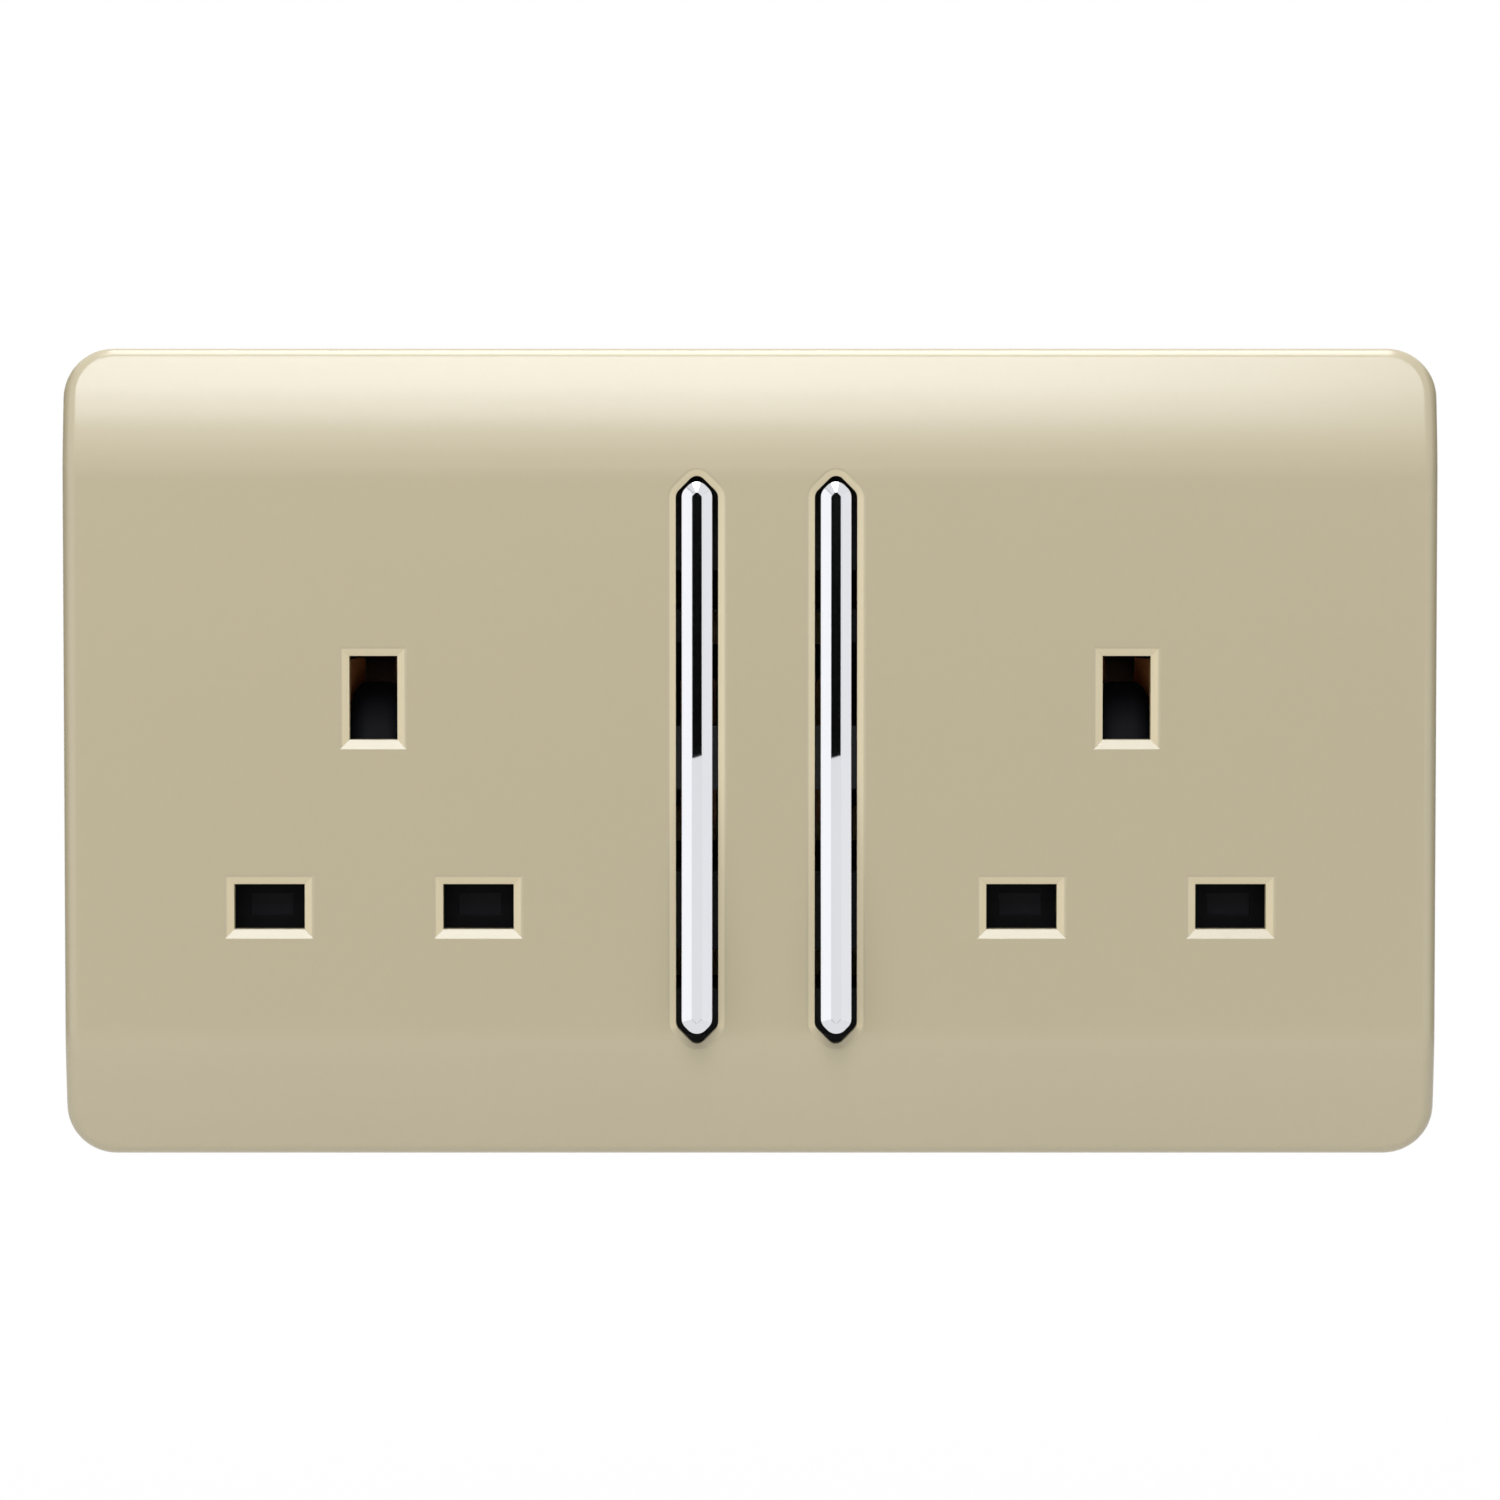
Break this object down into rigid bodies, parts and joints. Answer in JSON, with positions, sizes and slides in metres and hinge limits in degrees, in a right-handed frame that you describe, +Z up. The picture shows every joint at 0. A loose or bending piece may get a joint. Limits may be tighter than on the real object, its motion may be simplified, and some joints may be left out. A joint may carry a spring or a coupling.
{
  "type": "twin switched socket outlet",
  "caption": "Twin switched wall socket outlet for plugs with three rectangular pins, with a clip-on cover, long rocker switches and sliding safety shutters.",
  "frame": {"origin": "midway between the two fixing holes, on the wall face", "axes": "+X to the right seen from the front, +Y into the wall, +Z up"},
  "size_m": [0.146, 0.0337, 0.086],
  "materials": {
    "cover": "glossy champagne",
    "frame": "black moulded",
    "housing": "black moulded",
    "rocker_cap": "bright chrome plate",
    "carrier": "black nylon",
    "plunger": "natural nylon",
    "shutter": "black moulded",
    "spring": "bright spring wire",
    "copper": "stamped copper alloy",
    "brass": "stamped brass",
    "terminal": "machined brass",
    "screw": "zinc-plated steel"
  },
  "bodies": {
    "base": {"front_cover": "cover", "mounting_frame": "frame", "rear_housing": "housing", "live_contact_left": "brass", "live_contact_right": "brass", "line_bar": "brass", "neutral_bar": "brass", "earth_bar": "copper", "live_terminal": "terminal", "neutral_terminal": "terminal", "earth_terminal_left": "terminal", "earth_terminal_right": "terminal", "shutter_spring_left": "spring", "shutter_spring_right": "spring", "assembly_screws": "screw"},
    "rocker_left": {"rocker_cap_left": "rocker_cap", "rocker_carrier_left": "carrier", "plunger_spring_left": "spring"},
    "plunger_left": {"plunger_left": "plunger"},
    "lever_left": {"contact_lever_left": "copper"},
    "shutter_left": {"shutter_left": "shutter"},
    "rocker_right": {"rocker_cap_right": "rocker_cap", "rocker_carrier_right": "carrier", "plunger_spring_right": "spring"},
    "plunger_right": {"plunger_right": "plunger"},
    "lever_right": {"contact_lever_right": "copper"},
    "shutter_right": {"shutter_right": "shutter"},
    "live_terminal_screw": {"live_terminal_screw": "screw"},
    "neutral_terminal_screw": {"neutral_terminal_screw": "screw"},
    "earth_terminal_screw_left": {"earth_terminal_screw_left": "screw"},
    "earth_terminal_screw_right": {"earth_terminal_screw_right": "screw"}
  },
  "joints": [
    {"name": "rocker_left_tilt", "type": "hinge", "parent": "base", "child": "rocker_left", "pos_m": [-0.00563, -0.0042, -0.0007], "axis": [1, 0, 0], "range_deg": [0, 6]},
    {"name": "plunger_left_slide", "type": "slide", "parent": "rocker_left", "child": "plunger_left", "axis": [0, -0.9986, 0.0523], "range_m": [0, 0.0008], "stiffness_N_per_m": 400, "springref_m": -0.0008, "deforming": ["plunger_spring_left"]},
    {"name": "lever_left_tilt", "type": "hinge", "parent": "base", "child": "lever_left", "pos_m": [-0.00563, 0.00835, -0.0007], "axis": [1, 0, 0], "range_deg": [-12, 0]},
    {"name": "shutter_left_slide", "type": "slide", "parent": "base", "child": "shutter_left", "axis": [0, 0, -1], "range_m": [0, 0.0058], "stiffness_N_per_m": 150, "springref_m": -0.004, "deforming": ["shutter_spring_left"]},
    {"name": "rocker_right_tilt", "type": "hinge", "parent": "base", "child": "rocker_right", "pos_m": [0.00913, -0.0042, -0.0007], "axis": [1, 0, 0], "range_deg": [0, 6]},
    {"name": "plunger_right_slide", "type": "slide", "parent": "rocker_right", "child": "plunger_right", "axis": [0, -0.9986, 0.0523], "range_m": [0, 0.0008], "stiffness_N_per_m": 400, "springref_m": -0.0008, "deforming": ["plunger_spring_right"]},
    {"name": "lever_right_tilt", "type": "hinge", "parent": "base", "child": "lever_right", "pos_m": [0.00913, 0.00835, -0.0007], "axis": [1, 0, 0], "range_deg": [-12, 0]},
    {"name": "shutter_right_slide", "type": "slide", "parent": "base", "child": "shutter_right", "axis": [0, 0, -1], "range_m": [0, 0.0058], "stiffness_N_per_m": 150, "springref_m": -0.004, "deforming": ["shutter_spring_right"]},
    {"name": "live_terminal_screw_travel", "type": "slide", "parent": "base", "child": "live_terminal_screw", "axis": [0, 1, 0], "range_m": [0, 0.0025]},
    {"name": "neutral_terminal_screw_travel", "type": "slide", "parent": "base", "child": "neutral_terminal_screw", "axis": [0, 1, 0], "range_m": [0, 0.0025]},
    {"name": "earth_terminal_screw_left_travel", "type": "slide", "parent": "base", "child": "earth_terminal_screw_left", "axis": [0, 1, 0], "range_m": [0, 0.0025]},
    {"name": "earth_terminal_screw_right_travel", "type": "slide", "parent": "base", "child": "earth_terminal_screw_right", "axis": [0, 1, 0], "range_m": [0, 0.0025]}
  ],
  "couplings": [
    {"joint": "lever_left_tilt", "follows": "rocker_left_tilt", "ratio": -2},
    {"joint": "lever_right_tilt", "follows": "rocker_right_tilt", "ratio": -2}
  ]
}
